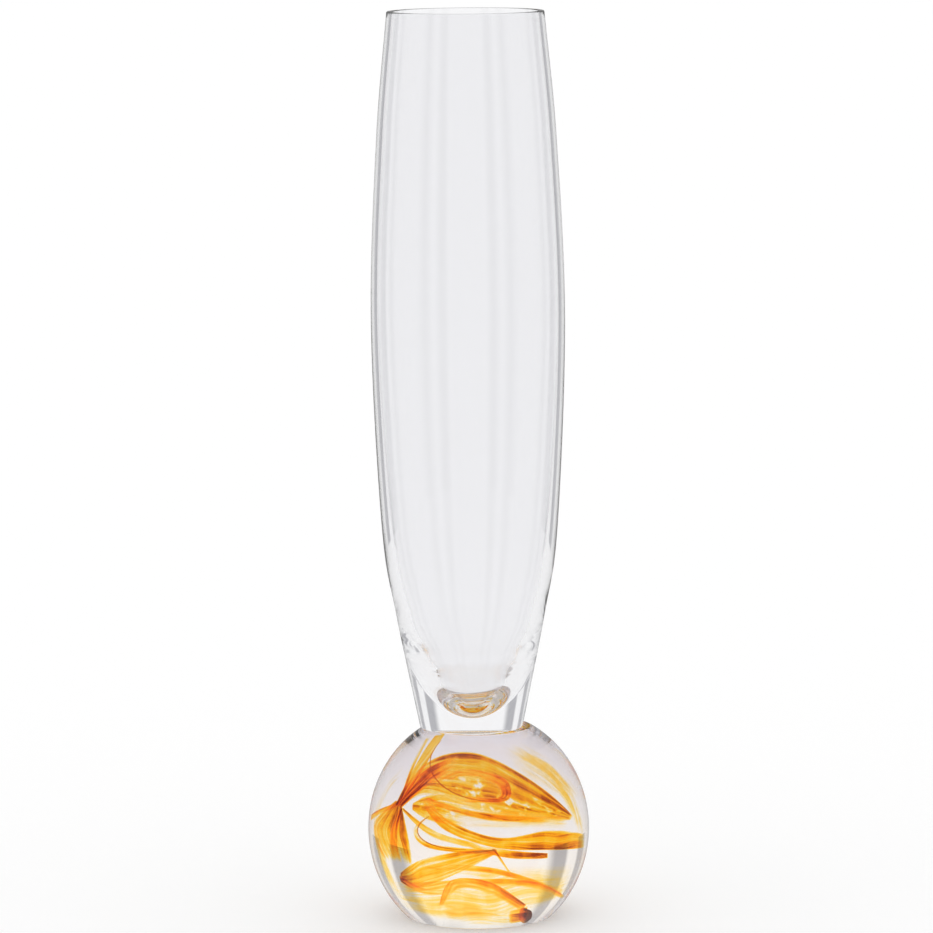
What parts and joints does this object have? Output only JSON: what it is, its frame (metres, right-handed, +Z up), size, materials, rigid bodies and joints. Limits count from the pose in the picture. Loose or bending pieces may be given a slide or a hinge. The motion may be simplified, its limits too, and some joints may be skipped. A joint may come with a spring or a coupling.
{
  "type": "glass bud vase",
  "caption": "Tall slim blown glass tube with a heavy floor, bonded on a solid clear glass ball that has amber colour veils inside it.",
  "frame": {"origin": "middle of the ground flat under the ball, where the vase stands", "axes": "+Z up towards the mouth; -Y is the front, where the cross sash runs in front of the crown veil; the tube stands 1.9 mm towards -X from the ball's axis"},
  "size_m": [0.066, 0.066, 0.27],
  "materials": {
    "clear_tube_glass": "clear, polished",
    "clear_bond": "clear cured adhesive",
    "clear_ball_glass": "clear with a faint lavender cast, polished",
    "amber_glass": "amber, streaky",
    "dark_amber_glass": "dark amber brown"
  },
  "bodies": {
    "root": {"vase_body": "clear_tube_glass", "joint_bond": "clear_bond", "ball_foot": "clear_ball_glass", "crown_veil": "amber_glass", "twist_blade": "amber_glass", "fan_tail": "amber_glass", "cross_sash": "amber_glass", "fold_ribbon": "amber_glass", "low_band": "amber_glass", "bottom_band": "amber_glass", "shoulder_veil": "amber_glass", "upper_thread": "amber_glass", "side_thread": "amber_glass", "dark_knot": "dark_amber_glass"}
  },
  "joints": []
}
